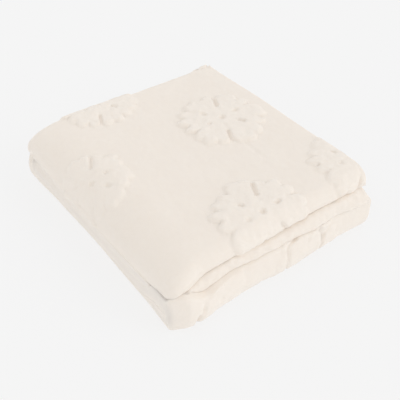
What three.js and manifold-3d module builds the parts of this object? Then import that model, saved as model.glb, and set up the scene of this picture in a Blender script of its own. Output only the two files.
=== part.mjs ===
// A plush throw with raised snowflakes, folded in half twice across its width and twice along its
// length, lying on a surface. Millimetres.
// X runs from the closed left side to the open right side, Y from front to back, Z up.
// The origin is the middle of the footprint, on the surface.

import * as THREE from "three";
import { TessellateModifier } from "three/addons/modifiers/TessellateModifier.js";
import { mergeVertices } from "three/addons/utils/BufferGeometryUtils.js";
import Module from "manifold-3d";

// The folded pack. Four plies lie on each other, and each ply is four layers of the cloth.
const PACK_WIDTH = 325;
const PACK_DEPTH = 381;

// The cloth with its pile, and the spacing of its layers and plies.
const CLOTH = 5.2;
const LAYER_PITCH = 5.6;
const PLY_GAP = 0.7;

// The two upper plies end short of the front fold below them, the second one at a slant. The top one
// gapes at its free end, and both are narrower at the right, the second one towards its free end.
const FRONT_SETBACK = { top: 14, secondLeft: 11, secondRight: 5 };
const RIGHT_INSET = { back: 3, front: 7, second: 8 };
const MOUTH = { back: 0.3, front: 1.5, opensFrom: 0.3 };

// At a free end the upper layer of the ply turns down in a round lip over the ends of the others, which
// stop just past the start of the round. The drops are the straight ends below the round.
const LIP = { radius: 14, topDrop: 3, secondDrop: 5, others: 1 };

// Round folds are pressed: their depth as a share of a true half circle. The left side of the plies
// below the top one is nearly flat.
const FRONT_BLUNT = 0.8;
const BACK_BLUNT = 0.6;
const RIGHT_BLUNT = 0.85;
const LEFT_BLUNT = { top: 0.85, below: 0.4 };

// Free edges of the layers at the right, set back from the widest.
const EDGE_TRIM = { outer: 0, inner: 4, fold: 1.5 };

// Steps of the mesh along each stretch of the section and of the fold path. The runs of a section have
// their inner stops at these places across the pack, closer together at its round left side.
const RUN_STOPS = [-143, -120, -60, 60];
const SECTION_STEPS = { run: RUN_STOPS.length + 1, outerFold: 8, innerFold: 4 };
const PATH_STEPS = {
  secondLip: 4,
  second: 4,
  innerFold: 6,
  third: 4,
  frontFold: 8,
  bottom: 4,
  backFold: 8,
  top: 6,
  topLip: 4,
};

// Uneven lie of the top ply: soft rises and dips, each with its place, height and reach.
const SWELLS = [
  { x: 135, y: 165, rise: 2, reach: 80 },
  { x: -130, y: 165, rise: 0.5, reach: 80 },
  { x: -35, y: 15, rise: -2, reach: 115 },
  { x: 140, y: -145, rise: 1.5, reach: 80 },
  { x: -130, y: -165, rise: -2, reach: 80 },
];
const SWELL_FROM = 40;
const SWELL_OVER = 46;

// The pack is pressed a little thinner towards its front: by what share, and from how far.
const SLUMP = { front: 0.04, frontReach: 60 };

// Its left side is one broad round: the plies lose this share of their height towards it, from this far.
// turn is the share of a full quarter that the round makes.
const LEFT_DROOP = { share: 0.27, reach: 60, turn: 0.95 };

// Wander of the left side and of the front, for the top ply and for the plies below it.
const LEFT_WANDER = [
  { at: -191, top: 3, below: -0.5 },
  { at: -105, top: -1, below: 2.5 },
  { at: 0, top: 1.5, below: 4 },
  { at: 95, top: -1, below: 2 },
  { at: 191, top: 1, below: 3 },
];
const FRONT_WANDER = [
  { at: -163, top: 2, below: 2.5 },
  { at: -80, top: -2, below: 0 },
  { at: 18, top: 1, below: -2 },
  { at: 95, top: -1, below: 1 },
  { at: 163, top: 2.5, below: -1 },
];
const WANDER_REACH = 80;
const WANDER_SPLIT = { from: 56, over: 20 };

// A snowflake of taller pile: six arms around a small pit, each with side lobes and a blunt tip.
// half is half the arm's width. Both columns are shares of the flake's radius.
const FLAKE_RADIUS = 66;
const FLAKE_RISE = 4.5;
const FLAKE_ROOT = 2;
const ARM_COUNT = 6;
const ARM = [
  { reach: 0.13, half: 0.04 },
  { reach: 0.3, half: 0.12 },
  { reach: 0.5, half: 0.15 },
  { reach: 0.62, half: 0.31 },
  { reach: 0.77, half: 0.33 },
  { reach: 0.8, half: 0.2 },
  { reach: 0.95, half: 0.18 },
  { reach: 1, half: 0.09 },
];

// Flakes that show. On the top ply y is the place of a flake's middle, and on the front fold rise is
// its distance up the round from the fold's widest line.
const FLAKES = [
  { on: "top", x: 78, y: 31, turn: 36 },
  { on: "top", x: -9, y: -157, turn: 34 },
  { on: "top", x: -142, y: 22, turn: 30 },
  { on: "top", x: -48, y: 172, turn: 38 },
  { on: "top", x: 158, y: -146, turn: 33 },
  { on: "top", x: 174, y: 203, turn: 35 },
  { on: "front", x: 42, rise: -10, turn: 3 },
  { on: "front", x: -122, rise: 3, turn: 25 },
];

// Where flakes stop: short of a hem, on the left fold below its widest line, and on the front and
// back folds at these shares of the round from where it leaves the ply before it.
const HEM_CLEARANCE = 3;
const SIDE_END = -9;
const FRONT_BAND = { from: 0.2, to: 0.72 };
const BACK_BAND_FROM = 0.2;
const BENT_EDGE = 15;
const BENT_PASSES = 6;

// Corners closer than this are one.
const WELD = 1e-3;

const COLOUR = 0xefe6dc;

// How far the layers of a ply lie from its middle, in layer pitches.
const OUTER = 1.5;
const INNER = 0.5;

// Half thickness of a ply, from the opening between its two halves.
const halfPly = (mouth) => OUTER * LAYER_PITCH + mouth / 2 + CLOTH / 2;

const LOW_HALF = halfPly(0);
const PLY_RISE = 2 * LOW_HALF + PLY_GAP;
const BOTTOM_Z = LOW_HALF;
const THIRD_Z = BOTTOM_Z + PLY_RISE;
const SECOND_Z = THIRD_Z + PLY_RISE;
const TOP_UNDERSIDE = SECOND_Z + LOW_HALF + PLY_GAP;
const BACK_TOP_HALF = halfPly(MOUTH.back);
const FRONT_RADIUS = PLY_RISE / 2;
const BACK_RADIUS = (TOP_UNDERSIDE + BACK_TOP_HALF - BOTTOM_Z) / 2;
const BACK_HALF = (LOW_HALF + BACK_TOP_HALF) / 2;
const FRONT_CENTRE_Y = -PACK_DEPTH / 2 + (FRONT_RADIUS + LOW_HALF) * FRONT_BLUNT;
const BACK_CENTRE_Y = PACK_DEPTH / 2 - (BACK_RADIUS + BACK_HALF) * BACK_BLUNT;
const LIP_REACH = LIP.radius + CLOTH / 2;
const TOP_LIP_Y = -PACK_DEPTH / 2 + FRONT_SETBACK.top + LIP_REACH;
const SECOND_LIP_Y = -PACK_DEPTH / 2 + FRONT_SETBACK.secondLeft + LIP_REACH;

const mix = THREE.MathUtils.lerp;
const rad = THREE.MathUtils.degToRad;
const smooth = (value) => THREE.MathUtils.smoothstep(value, 0, 1);

// The stretches of the fold path, from the free end of the second ply to that of the top ply. A length
// is measured on the outer face of the cloth, which isn't stretched in a fold.
const LIP_ROUND = (Math.PI / 2) * LIP_REACH;
const PATH = [
  { name: "secondLip", length: LIP_ROUND + LIP.secondDrop },
  { name: "second", length: BACK_CENTRE_Y - SECOND_LIP_Y },
  { name: "innerFold", length: Math.PI * FRONT_RADIUS },
  { name: "third", length: BACK_CENTRE_Y - FRONT_CENTRE_Y },
  { name: "frontFold", length: Math.PI * (FRONT_RADIUS + LOW_HALF) },
  { name: "bottom", length: BACK_CENTRE_Y - FRONT_CENTRE_Y },
  { name: "backFold", length: Math.PI * (BACK_RADIUS + BACK_HALF) },
  { name: "top", length: BACK_CENTRE_Y - TOP_LIP_Y },
  { name: "topLip", length: LIP_ROUND + LIP.topDrop },
];
let pathLength = 0;
for (const stretch of PATH) {
  stretch.from = pathLength;
  pathLength += stretch.length;
}
const stretchNamed = (name) => PATH.find((stretch) => stretch.name === name);

// The stretch that a distance along the fold path falls in, and the share of it that is passed.
function pathPlace(along) {
  const found = PATH.findLast((stretch) => along >= stretch.from) ?? PATH[0];
  return { name: found.name, share: (along - found.from) / found.length };
}

// The ply at a place on the fold path: the opening between its halves, its right edge, and how round
// its left side is.
function plyAt({ name, share }) {
  const right = PACK_WIDTH / 2;
  if (name === "top" || name === "topLip") {
    const forward = name === "top" ? share : 1;
    const opened = smooth((forward - MOUTH.opensFrom) / (1 - MOUTH.opensFrom));
    return {
      mouth: mix(MOUTH.back, MOUTH.front, opened),
      right: right - mix(RIGHT_INSET.back, RIGHT_INSET.front, forward),
      leftBlunt: LEFT_BLUNT.top,
    };
  }
  const loosened = name === "backFold" ? smooth(share) : 0;
  const freeEnd = { secondLip: 1, second: 1 - share }[name] ?? 0;
  return {
    mouth: MOUTH.back * loosened,
    right: right - RIGHT_INSET.back * loosened - RIGHT_INSET.second * freeEnd,
    leftBlunt: mix(LEFT_BLUNT.below, LEFT_BLUNT.top, loosened),
  };
}

// The middle of the left fold of a ply, across the pack.
function leftCentre(ply) {
  return -PACK_WIDTH / 2 + halfPly(ply.mouth) * ply.leftBlunt;
}

// The kinds of stretch in a ply's section: a flat run, and its folds at the left and the right.
const NO_COVER = { topCover: [0, 0], secondCover: [0, 0] };
const RUN = { run: true, leftward: false, trim: null, steps: SECTION_STEPS.run, ...NO_COVER };
const OUTER_FOLD = { side: -1, facing: 1, steps: SECTION_STEPS.outerFold, ...NO_COVER };
const INNER_FOLD = { side: -1, facing: -1, steps: SECTION_STEPS.innerFold, ...NO_COVER };
const RIGHT_FOLD = { side: 1, facing: 1, steps: SECTION_STEPS.innerFold, ...NO_COVER };

// The stretches of a ply's section, in the order in which the cloth runs through them. level counts
// layer pitches from the ply's middle, and facing is the side that the cloth's outer face looks to.
// topCover and secondCover say how far the stretch turns down with the lip of the top ply and of the
// second one, at its start and its end.
const SECTION = [
  { ...RUN, level: OUTER, facing: 1, leftward: true, trim: EDGE_TRIM.outer, topCover: [1, 1] },
  { ...OUTER_FOLD, from: OUTER, to: -OUTER, topCover: [1, 0], secondCover: [0, 1] },
  { ...RUN, level: -OUTER, facing: -1, secondCover: [1, 1] },
  { ...RIGHT_FOLD, from: -OUTER, to: -INNER, secondCover: [1, 1] },
  { ...RUN, level: -INNER, facing: 1, leftward: true, secondCover: [1, 0] },
  { ...INNER_FOLD, from: -INNER, to: INNER },
  { ...RUN, level: INNER, facing: -1, trim: EDGE_TRIM.inner },
];

// The right end of a run of a ply's section, and the middle of the small fold that it may lead to.
const foldCentre = (ply) => ply.right - EDGE_TRIM.fold - (LAYER_PITCH / 2 + CLOTH / 2) * RIGHT_BLUNT;
const runRight = (stretch, ply) => (stretch.trim === null ? foldCentre(ply) : ply.right - stretch.trim);

// The share of a stretch that is passed at one of its stops.
function stopShare({ stretch, share }, ply) {
  if (!stretch.run || share === 0 || share === 1) {
    return share;
  }
  const step = Math.round((stretch.leftward ? 1 - share : share) * stretch.steps);
  const left = leftCentre(ply);
  const travelled = (RUN_STOPS[step - 1] - left) / (runRight(stretch, ply) - left);
  return stretch.leftward ? 1 - travelled : travelled;
}

// A point of a ply's section: x across the pack, n from the ply's middle towards the outer face of its
// first layer, and how far the point turns down with a lip. share runs along the stretch, and lift is
// measured from the layer's middle.
function sectionPoint(stretch, share, ply, lift) {
  const height = (level) => level * LAYER_PITCH + (Math.sign(level) * ply.mouth) / 2;
  const cover = ([start, end]) => mix(start, end, smooth(share));
  const covers = { top: cover(stretch.topCover), second: cover(stretch.secondCover) };
  if (stretch.run) {
    const travelled = stretch.leftward ? 1 - share : share;
    return {
      x: mix(leftCentre(ply), runRight(stretch, ply), travelled),
      n: height(stretch.level) + lift * stretch.facing,
      covers,
    };
  }
  const low = height(stretch.from);
  const high = height(stretch.to);
  const reach = Math.abs(high - low) / 2 + lift * stretch.facing;
  const turn = (share - 0.5) * Math.PI * Math.sign(high - low);
  const onLeft = stretch.side < 0;
  const [centre, blunt] = onLeft ? [leftCentre(ply), ply.leftBlunt] : [foldCentre(ply), RIGHT_BLUNT];
  return {
    x: centre + stretch.side * reach * Math.cos(turn) * blunt,
    n: (low + high) / 2 + reach * Math.sin(turn),
    covers,
  };
}

// Value of a table's column at a place, smooth between its rows.
function valueAt(table, column, at) {
  const place = THREE.MathUtils.clamp(at, table[0].at, table.at(-1).at);
  const next = Math.max(1, table.findIndex((row) => row.at >= place));
  const a = table[next - 1];
  const b = table[next];
  return mix(a[column], b[column], smooth((place - a.at) / (b.at - a.at)));
}

// Value of a wander table at a place, for a height in the pack.
function wander(table, at, z) {
  const upper = smooth((z - WANDER_SPLIT.from) / WANDER_SPLIT.over);
  return mix(valueAt(table, "below", at), valueAt(table, "top", at), upper);
}

// How far down the round of the left side has come, from 0 where it starts to 1 at the side itself.
function droopAt(fromLeft) {
  const nearer = THREE.MathUtils.clamp(1 - fromLeft / LEFT_DROOP.reach, 0, 1);
  const down = (share) => 1 - Math.sqrt(1 - (LEFT_DROOP.turn * share) ** 2);
  return down(nearer) / down(1);
}

// Moves a point of the even fold to where the real, uneven cloth lies.
function settle(x, y, z) {
  const upper = smooth((z - SWELL_FROM) / SWELL_OVER);
  let swell = 0;
  for (const { x: sx, y: sy, rise, reach } of SWELLS) {
    swell += rise * Math.exp(-((x - sx) ** 2 + (y - sy) ** 2) / reach ** 2);
  }
  const fromLeft = x + PACK_WIDTH / 2;
  const fromFront = y + PACK_DEPTH / 2;
  const nearLeft = smooth(1 - fromLeft / WANDER_REACH);
  const nearFront = smooth(1 - fromFront / WANDER_REACH);
  const leftDroop = LEFT_DROOP.share * droopAt(fromLeft);
  const frontSlump = SLUMP.front * smooth(1 - fromFront / SLUMP.frontReach);
  return [
    x + wander(LEFT_WANDER, y, z) * nearLeft,
    y + wander(FRONT_WANDER, x, z) * nearFront,
    z * (1 - leftDroop) * (1 - frontSlump) + swell * upper,
  ];
}

// Where a point of a ply's free end lies: out from the start of the lip, and up from the ply's middle.
// height is the point's own before the turn, cover is its share in the turn, and straight is the length
// of the straight end below the round.
function lipPoint(share, height, cover, ply, straight) {
  const travelled = share * (LIP_ROUND + straight);
  const turn = Math.min(travelled, LIP_ROUND) / LIP_REACH;
  const drop = Math.max(travelled - LIP_ROUND, 0);
  const centre = halfPly(ply.mouth) - LIP_REACH;
  return {
    out: mix(LIP.others * share, (height - centre) * Math.sin(turn), cover),
    up: mix(height, centre + (height - centre) * Math.cos(turn) - drop, cover),
  };
}

// Where the lip of the second ply starts, at a place across the pack.
function secondLipY(x) {
  const slant = FRONT_SETBACK.secondLeft - FRONT_SETBACK.secondRight;
  return SECOND_LIP_Y - slant * smooth(0.5 + x / PACK_WIDTH);
}

// A point of the pack, from a place on the fold path and a point of the section there.
function packPoint({ name, share }, { x, n, covers }, ply) {
  const turn = share * Math.PI;
  const topZ = TOP_UNDERSIDE + halfPly(ply.mouth);
  if (name === "secondLip") {
    const { out, up } = lipPoint(1 - share, -n, covers.second, ply, LIP.secondDrop);
    return settle(x, secondLipY(x) - out, SECOND_Z + up);
  }
  if (name === "second") {
    return settle(x, mix(secondLipY(x), BACK_CENTRE_Y, share), SECOND_Z - n);
  }
  if (name === "innerFold") {
    const reach = FRONT_RADIUS - n;
    const y = BACK_CENTRE_Y + reach * Math.sin(turn) * BACK_BLUNT;
    return settle(x, y, THIRD_Z + FRONT_RADIUS + reach * Math.cos(turn));
  }
  if (name === "third") {
    return settle(x, mix(BACK_CENTRE_Y, FRONT_CENTRE_Y, share), THIRD_Z + n);
  }
  if (name === "frontFold") {
    const reach = FRONT_RADIUS + n;
    const y = FRONT_CENTRE_Y - reach * Math.sin(turn) * FRONT_BLUNT;
    return settle(x, y, BOTTOM_Z + FRONT_RADIUS + reach * Math.cos(turn));
  }
  if (name === "bottom") {
    return settle(x, mix(FRONT_CENTRE_Y, BACK_CENTRE_Y, share), BOTTOM_Z - n);
  }
  if (name === "backFold") {
    const reach = BACK_RADIUS + n;
    const y = BACK_CENTRE_Y + reach * Math.sin(turn) * BACK_BLUNT;
    return settle(x, y, BOTTOM_Z + BACK_RADIUS - reach * Math.cos(turn));
  }
  if (name === "top") {
    return settle(x, mix(BACK_CENTRE_Y, TOP_LIP_Y, share), topZ + n);
  }
  const { out, up } = lipPoint(share, n, covers.top, ply, LIP.topDrop);
  return settle(x, TOP_LIP_Y - out, topZ + up);
}

// Even stops along a list of stretches, each stop shared by the two stretches that meet there.
function stops(stretches, stepsOf) {
  const list = [{ stretch: stretches[0], share: 0 }];
  for (const stretch of stretches) {
    const steps = stepsOf(stretch);
    for (let i = 1; i <= steps; i++) {
      list.push({ stretch, share: i / steps });
    }
  }
  return list;
}

function geometryFrom(points, triangles) {
  const geometry = new THREE.BufferGeometry();
  geometry.setAttribute("position", new THREE.Float32BufferAttribute(points.flat(), 3));
  geometry.setIndex(triangles.flat());
  return geometry;
}

// The whole folded cloth: two faces over a grid of section stops and path stops, closed at its hems.
function clothGeometry() {
  const across = stops(SECTION, (stretch) => stretch.steps);
  const along = stops(PATH, (stretch) => PATH_STEPS[stretch.name]);
  const points = [];
  for (const lift of [CLOTH / 2, -CLOTH / 2]) {
    for (const { stretch, share } of along) {
      const place = { name: stretch.name, share };
      const ply = plyAt(place);
      for (const stop of across) {
        points.push(packPoint(place, sectionPoint(stop.stretch, stopShare(stop, ply), ply, lift), ply));
      }
    }
  }
  const columns = across.length;
  const rows = along.length;
  const index = (face, row, column) => (face * rows + row) * columns + column;
  const triangles = [];
  const quad = (a, b, c, d) => triangles.push([a, b, c], [a, c, d]);
  for (let r = 0; r + 1 < rows; r++) {
    for (let c = 0; c + 1 < columns; c++) {
      quad(index(0, r, c), index(0, r, c + 1), index(0, r + 1, c + 1), index(0, r + 1, c));
      quad(index(1, r, c), index(1, r + 1, c), index(1, r + 1, c + 1), index(1, r, c + 1));
    }
    quad(index(0, r, 0), index(0, r + 1, 0), index(1, r + 1, 0), index(1, r, 0));
    const end = columns - 1;
    quad(index(0, r, end), index(1, r, end), index(1, r + 1, end), index(0, r + 1, end));
  }
  for (let c = 0; c + 1 < columns; c++) {
    const last = rows - 1;
    quad(index(0, 0, c), index(1, 0, c), index(1, 0, c + 1), index(0, 0, c + 1));
    quad(index(0, last, c), index(0, last, c + 1), index(1, last, c + 1), index(1, last, c));
  }
  return geometryFrom(points, triangles);
}

// The measures of the outer face at a place on the fold path, across from the widest line of the left
// fold: where its round ends and where its hem is.
function outerFace(ply) {
  const halfRound = (Math.PI / 2) * halfPly(ply.mouth);
  return { halfRound, hem: halfRound + ply.right - leftCentre(ply) };
}

// A point over the outer face, from its distances across and along, and its height above the face.
function outerPoint(across, along, height) {
  const place = pathPlace(along);
  const ply = plyAt(place);
  const [topRun, leftFold] = SECTION;
  const { halfRound, hem } = outerFace(ply);
  const onRun = across >= halfRound;
  const stretch = onRun ? topRun : leftFold;
  const share = onRun ? (hem - across) / (hem - halfRound) : (1 - across / halfRound) / 2;
  return packPoint(place, sectionPoint(stretch, share, ply, CLOTH / 2 + height), ply);
}

// Where a flake's middle lies on the outer face, and the stretch of the face that it may cover.
function flakePlace(flake) {
  const frontFold = stretchNamed("frontFold");
  const backFold = stretchNamed("backFold");
  const top = stretchNamed("top");
  const front = flake.on === "front";
  const along = front
    ? frontFold.from + frontFold.length / 2 - flake.rise
    : top.from + BACK_CENTRE_Y - flake.y;
  const ply = plyAt(pathPlace(along));
  const { halfRound, hem } = outerFace(ply);
  return {
    across: halfRound + flake.x - leftCentre(ply),
    along,
    flat: { across: halfRound, from: top.from, to: top.from + top.length },
    min: {
      across: front ? halfRound : SIDE_END,
      along: front
        ? frontFold.from + frontFold.length * FRONT_BAND.from
        : backFold.from + backFold.length * BACK_BAND_FROM,
    },
    max: {
      across: hem - HEM_CLEARANCE,
      along: front ? frontFold.from + frontFold.length * FRONT_BAND.to : pathLength - HEM_CLEARANCE,
    },
  };
}

// One arm of a flake, drawn flat with the flake's middle at the origin, X across and Y against the
// fold path.
function armGeometry(direction) {
  const side = (sign) =>
    ARM.map(({ reach, half }) => new THREE.Vector2(reach, sign * half).multiplyScalar(FLAKE_RADIUS));
  const outline = [...side(-1), ...side(1).reverse()];
  const middle = new THREE.Vector2();
  const shape = new THREE.Shape(outline.map((point) => point.rotateAround(middle, direction)));
  const geometry = new THREE.ExtrudeGeometry(shape, {
    depth: FLAKE_ROOT + FLAKE_RISE,
    bevelEnabled: false,
  });
  return geometry.translate(0, 0, -FLAKE_ROOT);
}

// The flat box that a flake at a place is cut to.
function limitGeometry({ across, along, min, max }) {
  const width = max.across - min.across;
  const length = max.along - min.along;
  const height = 2 * (FLAKE_ROOT + FLAKE_RISE);
  const box = new THREE.BoxGeometry(width, length, height);
  return box.translate(min.across + width / 2 - across, along - max.along + length / 2, 0);
}

// Lays a flat arm on the outer face, in smaller triangles where it reaches a fold.
function layOn(geometry, { across, along, flat }) {
  geometry.computeBoundingBox();
  const { min, max } = geometry.boundingBox;
  const bends = along - max.y < flat.from || along - min.y > flat.to || across + min.x < flat.across;
  const tessellate = new TessellateModifier(BENT_EDGE, BENT_PASSES);
  const fine = bends ? tessellate.modify(geometry) : geometry;
  const position = fine.getAttribute("position");
  for (let i = 0; i < position.count; i++) {
    const place = [across + position.getX(i), along - position.getY(i), position.getZ(i)];
    position.setXYZ(i, ...outerPoint(...place));
  }
  return fine;
}

const wasm = await Module();
wasm.setup();

function solidFrom(geometry) {
  const bare = new THREE.BufferGeometry();
  bare.setAttribute("position", geometry.getAttribute("position"));
  bare.setIndex(geometry.index);
  const merged = mergeVertices(bare, WELD);
  const vertProperties = merged.getAttribute("position").array;
  const triVerts = new Uint32Array(merged.index.array);
  return new wasm.Manifold(new wasm.Mesh({ numProp: 3, vertProperties, triVerts }));
}

function geometryOf(solid) {
  const { vertProperties, triVerts } = solid.getMesh();
  const geometry = new THREE.BufferGeometry();
  geometry.setAttribute("position", new THREE.Float32BufferAttribute(vertProperties, 3));
  geometry.setIndex([...triVerts]);
  return geometry;
}

// The arms of a flake that show, each laid on the cloth.
function flakeSolids(flake) {
  const place = flakePlace(flake);
  const limit = solidFrom(limitGeometry(place));
  const solids = [];
  for (let arm = 0; arm < ARM_COUNT; arm++) {
    const direction = rad(flake.turn + (arm * 360) / ARM_COUNT);
    const cut = solidFrom(armGeometry(direction)).intersect(limit);
    if (cut.volume() > 0) {
      solids.push(solidFrom(layOn(geometryOf(cut), place)));
    }
  }
  return solids;
}

// The throw as one solid, centred on its footprint.
function throwGeometry() {
  let solid = solidFrom(clothGeometry());
  for (const arm of FLAKES.flatMap(flakeSolids)) {
    solid = solid.add(arm);
  }
  const geometry = geometryOf(solid);
  geometry.computeBoundingBox();
  const { min, max } = geometry.boundingBox;
  return geometry.translate(-(min.x + max.x) / 2, -(min.y + max.y) / 2, -min.z);
}

const plush = new THREE.MeshStandardMaterial({ color: COLOUR, roughness: 0.95, metalness: 0 });
const cloth = new THREE.Mesh(throwGeometry(), plush);
cloth.name = "throw_cloth";

const folded = new THREE.Group();
folded.name = "folded_throw";
folded.add(cloth);

export default folded;
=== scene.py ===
"""A plush throw with raised snowflakes, folded into a flat square pack.

The cloth is cut flat as one thin sheet, given its raised flakes and creases, and folded along the same
path as the solid that it replaces.
"""

import math
from collections import namedtuple
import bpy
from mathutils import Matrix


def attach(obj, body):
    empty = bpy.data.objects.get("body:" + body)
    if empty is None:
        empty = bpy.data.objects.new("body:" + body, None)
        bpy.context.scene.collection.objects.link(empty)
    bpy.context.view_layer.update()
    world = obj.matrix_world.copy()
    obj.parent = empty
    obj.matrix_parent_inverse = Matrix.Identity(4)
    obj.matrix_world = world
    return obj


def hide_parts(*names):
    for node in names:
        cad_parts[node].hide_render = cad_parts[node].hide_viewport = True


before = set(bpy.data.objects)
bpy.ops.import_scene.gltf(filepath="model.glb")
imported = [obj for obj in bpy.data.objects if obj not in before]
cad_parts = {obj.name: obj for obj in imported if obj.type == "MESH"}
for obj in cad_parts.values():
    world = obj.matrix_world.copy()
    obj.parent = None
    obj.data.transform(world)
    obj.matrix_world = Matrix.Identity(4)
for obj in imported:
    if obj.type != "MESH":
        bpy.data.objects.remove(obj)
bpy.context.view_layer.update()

from types import SimpleNamespace

import bpy
import numpy as np
from bpy.props import FloatProperty, FloatVectorProperty, PointerProperty
from bpy.types import Operator, Panel, PropertyGroup
from mathutils import Matrix, Vector

bl_info = {
    "name": "Folded plush throw",
    "version": (1, 0, 0),
    "blender": (4, 5, 0),
    "location": "View3D > Sidebar > Throw",
    "description": "Makes a folded plush throw with raised snowflakes and a plain stage for it",
    "category": "Object",
}

CLOTH_NODE = "throw_cloth"
BODY = "root"
MM = 0.001

# The fold, in millimetres. It follows the solid, and the finer lie of the cloth is its own. The pack is laid
# out round its own middle, and FOOT_MIDDLE is where the middle of the solid's footprint lies in it.
PLY_GAP = 0.7
FOOT_MIDDLE = (-1.965, -1.389)

# How far the free ends lie behind the front and inside the right side, how far the top ply opens towards
# its front, and the round lips of the two free ends. The outer layers of a ply turn down in its lip, and
# its other layers and its lowest one end this far out.
FRONT_SETBACK = SimpleNamespace(top=14, second_left=11, second_right=5)
RIGHT_INSET = SimpleNamespace(back=0, front=7, second=2)
MOUTH = SimpleNamespace(back=0.3, front=1.5, opens_from=0.3)
LIP = SimpleNamespace(radius=14, top_drop=3, second_drop=6.5, second_more=3.8, others=1, under=11)

# Further drop of the top ply's free end across the pack. It closes the gap below the end.
Drop = namedtuple("Drop", "at drop")
END_DROP = (
    Drop(-163, 8), Drop(-140, 6), Drop(-105, 3.5), Drop(60, 3.5), Drop(112, 5), Drop(138, 6.5),
    Drop(163, 6.5),
)

# Depth of the folds as a share of a round fold's.
FRONT_BLUNT = 0.8
BACK_BLUNT = 0.6
RIGHT_BLUNT = 0.85
LEFT_BLUNT = SimpleNamespace(top=0.85, below=0.12)

# How full the left folds are: 1 is round, and less has squarer edges.
LEFT_FULL = SimpleNamespace(round=0.8, pressed=0.3)

# The same for the upper half of the front fold, and for the second ply's lip.
FRONT_FULL = 0.55
SECOND_FULL = 0.55

# How far inside the right side a ply's outer hem, its inner hem and its small folds end.
EDGE_TRIM = SimpleNamespace(outer=0, inner=4, fold=1.5)

# Soft rises and dips of the top, which fade out downwards, and the slump of the front.
Swell = namedtuple("Swell", "x y rise reach")
SWELLS = (
    Swell(135, 165, 0.5, 60),
    Swell(150, 40, 3, 75),
    Swell(-130, 165, -0.5, 80),
    Swell(-35, 15, -2, 115),
    Swell(140, -145, 1.5, 80),
    Swell(-130, -165, -2, 80),
)
SWELL_FROM, SWELL_OVER = 40, 46
SLUMP = SimpleNamespace(share=0.04, reach=60)

# How far the left side and the front lie off a straight line, for the top ply and for those below it. It
# fades out inwards over WANDER_REACH. The top ply's values take over from WANDER_FROM up.
Wander = namedtuple("Wander", "at top below")
LEFT_WANDER = (
    Wander(-191, 1.5, -0.5),
    Wander(-105, 1, 2.5),
    Wander(0, 1.5, 4),
    Wander(95, -1, 2),
    Wander(191, -1, -2),
)
FRONT_WANDER = (
    Wander(-163, -1, 1.5),
    Wander(-136, -1.5, -4.5),
    Wander(-80, -2, 0),
    Wander(18, 1, -2),
    Wander(95, -1, 1),
    Wander(163, 2.5, -1),
)
WANDER_REACH = 80
WANDER_FROM, WANDER_OVER = 56, 20

# The left side is one broad round: the plies lose this share of their height towards it, at each place
# along the pack. Near the back a soft waist lies under the top ply. The foot of the side is drawn in.
Droop = namedtuple("Droop", "at drop waist")
LEFT_DROOP = (
    Droop(-191, 0.20, 0), Droop(-105, 0.34, 0), Droop(0, 0.40, 0), Droop(95, 0.36, 1.5), Droop(191, 0.26, 6),
)
DROOP_REACH, DROOP_ROUND = 60, 0.95
WAIST = SimpleNamespace(height=56, half=12, reach=40)
FOOT = SimpleNamespace(depth=4, height=18, reach=30)

# The left front corner of the top ply hangs down and forward, and the fold below it stands higher there. The
# corner reaches this far to the right and to the back, and more firmness holds it full for longer.
NOSE = SimpleNamespace(drop=0.5, lift=21.5, out=7, reach=52, firm=1.5, reach_back=72, firm_back=2.0)

# The front fold stands higher and presses the second ply's end together, and the second ply's end stands
# higher and presses the top ply's: by how much across the pack.
Lifted = namedtuple("Lifted", "at fold second")
FRONT_LIFT = (
    Lifted(-163, 0, 0), Lifted(-130, 1, 0), Lifted(-95, 9, 3), Lifted(-60, 10, 3), Lifted(-21, 13, 3),
    Lifted(40, 12.5, 3), Lifted(163, 10.5, 3),
)
FRONT_LIFT_REACH = 70

# Unevenness of the second ply's free end across the pack.
EndWave = namedtuple("EndWave", "length height start")
END_WAVES = (EndWave(170, 0.3, 0.4), EndWave(61, 0.3, 2.1), EndWave(27, 0.3, 4.0), EndWave(13, 0.2, 1.0))

# Radii of the pack's upright corners, and how far past a radius the rounding still works.
Corner = namedtuple("Corner", "side end radius")
CORNERS = (Corner(-1, -1, 20), Corner(-1, 1, 8), Corner(1, -1, 9), Corner(1, 1, 12))
CORNER_PAST = 1.2

# At the right the plies below the top one lean in towards the front, from their foot up.
LEAN = SimpleNamespace(depth=10, foot=20, over=52, reach=60, from_front=110)

# The gap under the second ply's free end closes up in places: how far the cloth beside it stands out, at
# the height of the gap.
Filled = namedtuple("Filled", "at out")
GAP_FILL = (
    Filled(-163, 2), Filled(-140, 2), Filled(-120, 1), Filled(-100, 4), Filled(-70, 1), Filled(-30, 4),
    Filled(20, 1), Filled(60, 5), Filled(95, 2), Filled(125, 5), Filled(163, 6),
)
GAP_HEIGHT, GAP_HALF, GAP_REACH = 45, 7, 40

# The layers of a ply, counted from its middle in layer pitches.
OUTER, INNER = 1.5, 0.5

# The share of the left fold that turns down fully with the top ply's lip.
COVER_LATE = 0.45

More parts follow.
